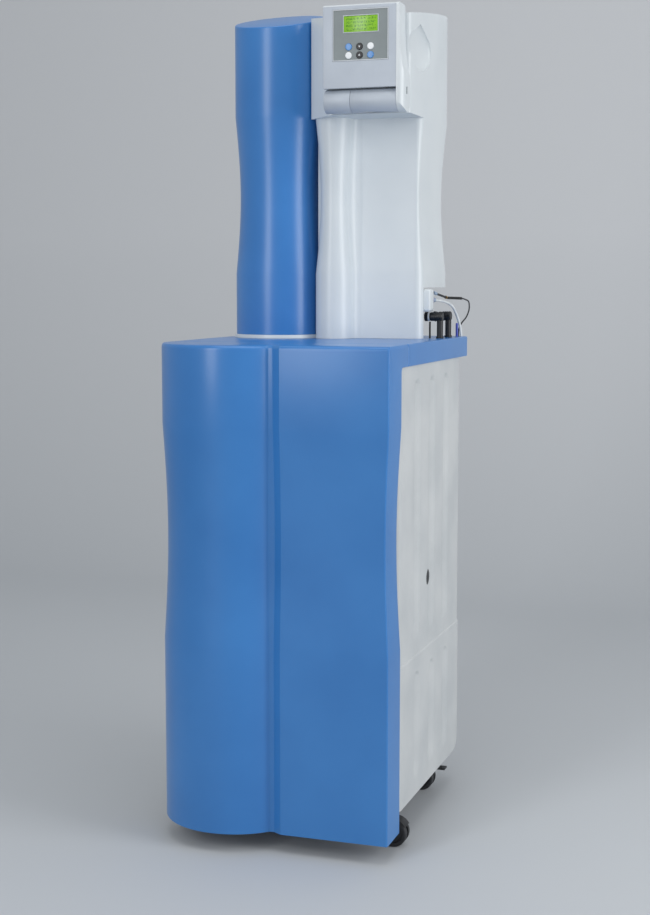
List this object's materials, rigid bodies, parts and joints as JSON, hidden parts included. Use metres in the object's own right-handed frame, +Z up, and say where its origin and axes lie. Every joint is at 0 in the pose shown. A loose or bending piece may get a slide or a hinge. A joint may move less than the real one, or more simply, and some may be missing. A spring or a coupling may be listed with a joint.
{
  "type": "laboratory reverse osmosis water system",
  "caption": "Wheeled water purifier: hinged blue door, grey storage tank, lift-off column cover over membrane modules, white dispensing column with a tilting keypad display.",
  "frame": {"origin": "on the floor, under the middle of the part's box", "axes": "+Z up, -Y towards the user in front of the door, +X to the user's right"},
  "size_m": [0.466, 0.6019, 1.5398],
  "materials": {
    "steel": "brushed",
    "grey_poly": "matt moulded grey",
    "black_matte": "matt black",
    "white_gloss": "smooth satin-gloss white",
    "motor_paint": "semi-gloss black paint",
    "pump_brass": "cast",
    "blue_gloss": "smooth satin-gloss blue",
    "board_green": "circuit board",
    "cable_rubber": "matt dark grey",
    "key_blue": "smooth blue",
    "silver_paint": "satin silver",
    "panel_grey": "smooth dark grey film",
    "lcd_green": "lit green"
  },
  "bodies": {
    "cabinet": {"base_frame": "steel", "tank": "grey_poly", "level_sensor": "black_matte", "vent_filter": "white_gloss", "drain_valve": "white_gloss", "pump_motor": "motor_paint", "pump_head": "pump_brass", "pretreatment_cartridge": "white_gloss", "cartridge_head": "black_matte", "lid": "blue_gloss", "hinge_bracket_lower": "steel", "hinge_bracket_upper": "steel", "door_magnet": "black_matte", "upper_body": "white_gloss", "back_panel": "white_gloss", "cover_foot": "white_gloss", "module_manifold": "white_gloss", "ro_module_left": "white_gloss", "ro_module_right": "white_gloss", "module_clamp": "grey_poly", "booster_pump": "black_matte", "control_board": "board_green", "power_supply": "motor_paint", "barrel_body": "white_gloss", "connector_block": "white_gloss", "conductivity_sensor": "black_matte", "sensor_cable": "cable_rubber", "product_hose": "white_gloss", "elbow_front": "black_matte", "elbow_rear": "black_matte", "level_tube": "black_matte", "blue_tube": "key_blue", "power_inlet": "black_matte"},
    "door": {"door": "blue_gloss"},
    "cover": {"blue_cover": "blue_gloss"},
    "head": {"display_head": "white_gloss", "fascia": "silver_paint", "display_panel": "panel_grey", "lcd_window": "lcd_green", "display_board": "board_green"},
    "knob": {"dispense_knob": "white_gloss"},
    "lever": {"drain_lever": "black_matte"},
    "cap": {"tank_cap": "black_matte"},
    "rocker": {"power_switch": "black_matte"},
    "key_1_body": {"key_1": "key_blue"},
    "key_2_body": {"key_2": "black_matte"},
    "key_3_body": {"key_3": "white_gloss"},
    "key_4_body": {"key_4": "white_gloss"},
    "key_5_body": {"key_5": "black_matte"},
    "key_6_body": {"key_6": "key_blue"},
    "caster_front_left": {"caster_hood_front_left": "black_matte"},
    "wheels_front_left": {"wheelset_front_left": "cable_rubber"},
    "caster_front_right": {"caster_hood_front_right": "black_matte"},
    "wheels_front_right": {"wheelset_front_right": "cable_rubber"},
    "caster_rear_left": {"caster_hood_rear_left": "black_matte"},
    "wheels_rear_left": {"wheelset_rear_left": "cable_rubber"},
    "caster_rear_right": {"caster_hood_rear_right": "black_matte"},
    "wheels_rear_right": {"wheelset_rear_right": "cable_rubber"},
    "pedal_rear_left": {"brake_pedal_rear_left": "black_matte"},
    "pedal_rear_right": {"brake_pedal_rear_right": "black_matte"}
  },
  "joints": [
    {"name": "door_swing", "type": "hinge", "parent": "cabinet", "child": "door", "pos_m": [-0.213, -0.201, 0.4], "axis": [0, 0, -1], "range_deg": [0, 100]},
    {"name": "cover_lift", "type": "slide", "parent": "cabinet", "child": "cover", "axis": [0, 0, 1], "range_m": [0, 0.6]},
    {"name": "display_tilt", "type": "hinge", "parent": "cabinet", "child": "head", "pos_m": [0.1, -0.006, 1.343], "axis": [1, 0, 0], "range_deg": [0, 25]},
    {"name": "knob_turn", "type": "hinge", "parent": "cabinet", "child": "knob", "pos_m": [0.05, -0.006, 1.343], "axis": [1, 0, 0], "range_deg": [0, 90]},
    {"name": "lever_turn", "type": "hinge", "parent": "cabinet", "child": "lever", "pos_m": [0.15, -0.0878, 0.146], "axis": [0, 0, 1], "range_deg": [0, 90]},
    {"name": "cap_turn", "type": "hinge", "parent": "cabinet", "child": "cap", "pos_m": [-0.06, -0.01, 0.775], "axis": [0, 0, 1], "range_deg": [0, 90]},
    {"name": "switch_rock", "type": "hinge", "parent": "cabinet", "child": "rocker", "pos_m": [-0.12, 0.2888, 0.975], "axis": [1, 0, 0], "range_deg": [-8, 8]},
    {"name": "key_1_press", "type": "slide", "parent": "head", "child": "key_1_body", "axis": [0, 1, 0], "range_m": [0, 0.001], "stiffness_N_per_m": 400},
    {"name": "key_2_press", "type": "slide", "parent": "head", "child": "key_2_body", "axis": [0, 1, 0], "range_m": [0, 0.001], "stiffness_N_per_m": 400},
    {"name": "key_3_press", "type": "slide", "parent": "head", "child": "key_3_body", "axis": [0, 1, 0], "range_m": [0, 0.001], "stiffness_N_per_m": 400},
    {"name": "key_4_press", "type": "slide", "parent": "head", "child": "key_4_body", "axis": [0, 1, 0], "range_m": [0, 0.001], "stiffness_N_per_m": 400},
    {"name": "key_5_press", "type": "slide", "parent": "head", "child": "key_5_body", "axis": [0, 1, 0], "range_m": [0, 0.001], "stiffness_N_per_m": 400},
    {"name": "key_6_press", "type": "slide", "parent": "head", "child": "key_6_body", "axis": [0, 1, 0], "range_m": [0, 0.001], "stiffness_N_per_m": 400},
    {"name": "swivel_front_left", "type": "hinge", "parent": "cabinet", "child": "caster_front_left", "pos_m": [-0.15, -0.172, 0.055], "axis": [0, 0, 1], "continuous": true},
    {"name": "roll_front_left", "type": "hinge", "parent": "caster_front_left", "child": "wheels_front_left", "pos_m": [-0.15, -0.19, 0.025], "axis": [1, 0, 0], "continuous": true},
    {"name": "swivel_front_right", "type": "hinge", "parent": "cabinet", "child": "caster_front_right", "pos_m": [0.19, -0.16, 0.055], "axis": [0, 0, 1], "continuous": true},
    {"name": "roll_front_right", "type": "hinge", "parent": "caster_front_right", "child": "wheels_front_right", "pos_m": [0.208, -0.16, 0.025], "axis": [0, 1, 0], "continuous": true},
    {"name": "swivel_rear_left", "type": "hinge", "parent": "cabinet", "child": "caster_rear_left", "pos_m": [-0.19, 0.165, 0.055], "axis": [0, 0, 1], "continuous": true},
    {"name": "roll_rear_left", "type": "hinge", "parent": "caster_rear_left", "child": "wheels_rear_left", "pos_m": [-0.208, 0.165, 0.025], "axis": [0, 1, 0], "continuous": true},
    {"name": "swivel_rear_right", "type": "hinge", "parent": "cabinet", "child": "caster_rear_right", "pos_m": [0.19, 0.165, 0.055], "axis": [0, 0, 1], "continuous": true},
    {"name": "roll_rear_right", "type": "hinge", "parent": "caster_rear_right", "child": "wheels_rear_right", "pos_m": [0.172, 0.165, 0.025], "axis": [0, 1, 0], "continuous": true},
    {"name": "brake_rear_left", "type": "hinge", "parent": "caster_rear_left", "child": "pedal_rear_left", "pos_m": [-0.1775, 0.165, 0.046], "axis": [0, 1, 0], "range_deg": [0, 20]},
    {"name": "brake_rear_right", "type": "hinge", "parent": "caster_rear_right", "child": "pedal_rear_right", "pos_m": [0.2025, 0.165, 0.046], "axis": [0, 1, 0], "range_deg": [0, 20]}
  ]
}
